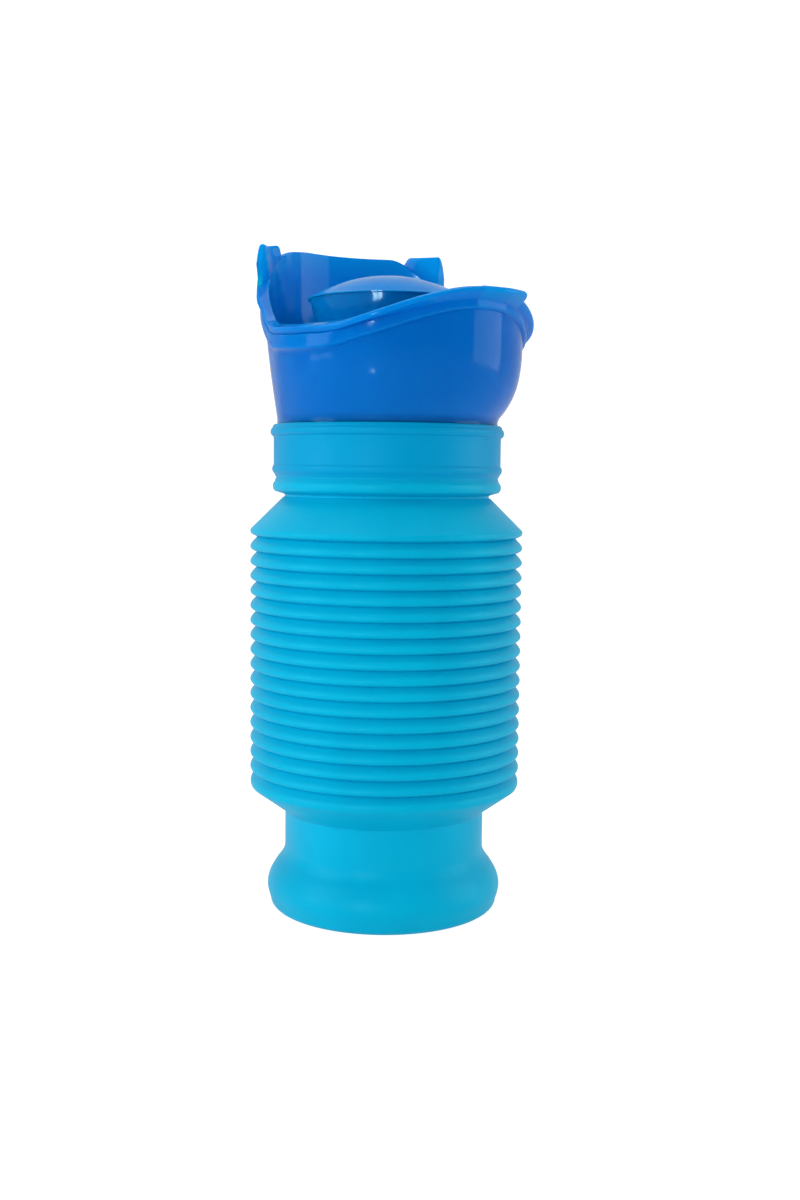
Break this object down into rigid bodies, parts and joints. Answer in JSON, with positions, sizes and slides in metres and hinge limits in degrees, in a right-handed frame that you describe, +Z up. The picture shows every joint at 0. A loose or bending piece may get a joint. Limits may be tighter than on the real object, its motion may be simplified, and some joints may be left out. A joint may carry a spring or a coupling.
{
  "type": "collapsible travel urinal",
  "caption": "Bellows bottle that folds flat lengthways, with a push-in hopper whose rim is saddle-shaped and a domed stopper that plugs the hopper's throat.",
  "frame": {"origin": "centre of the bottle's resting face, on the bottle's axis", "axes": "+Z up along the bottle's axis, -Y towards the side seen in the picture, +X to its right"},
  "size_m": [0.0924, 0.0926, 0.2208],
  "materials": {
    "bottle_plastic": "satin blow-moulded polyethylene",
    "hopper_plastic": "glossy injection-moulded polypropylene",
    "seal_rubber": "soft silicone"
  },
  "bodies": {
    "base": {"bottle_base": "bottle_plastic", "bottle_bellows": "bottle_plastic"},
    "neck": {"bottle_neck": "bottle_plastic"},
    "hopper_ring": {"hopper_seal": "seal_rubber"},
    "hopper": {"hopper": "hopper_plastic"},
    "stopper_ring": {"stopper_seal": "seal_rubber"},
    "stopper": {"stopper_body": "hopper_plastic", "stopper_cover": "hopper_plastic"}
  },
  "joints": [
    {"name": "bellows_fold", "type": "slide", "parent": "base", "child": "neck", "axis": [0, 0, -1], "range_m": [0, 0.038], "deforming": ["bottle_bellows"]},
    {"name": "hopper_pull", "type": "slide", "parent": "neck", "child": "hopper_ring", "axis": [0, 0, 1], "range_m": [0, 0.03]},
    {"name": "hopper_turn", "type": "hinge", "parent": "hopper_ring", "child": "hopper", "pos_m": [0, 0, 0.15], "axis": [0, 0, 1], "continuous": true},
    {"name": "stopper_pull", "type": "slide", "parent": "hopper", "child": "stopper_ring", "axis": [0, 0, 1], "range_m": [0, 0.085]},
    {"name": "stopper_turn", "type": "hinge", "parent": "stopper_ring", "child": "stopper", "pos_m": [0, 0, 0.15], "axis": [0, 0, 1], "continuous": true}
  ]
}
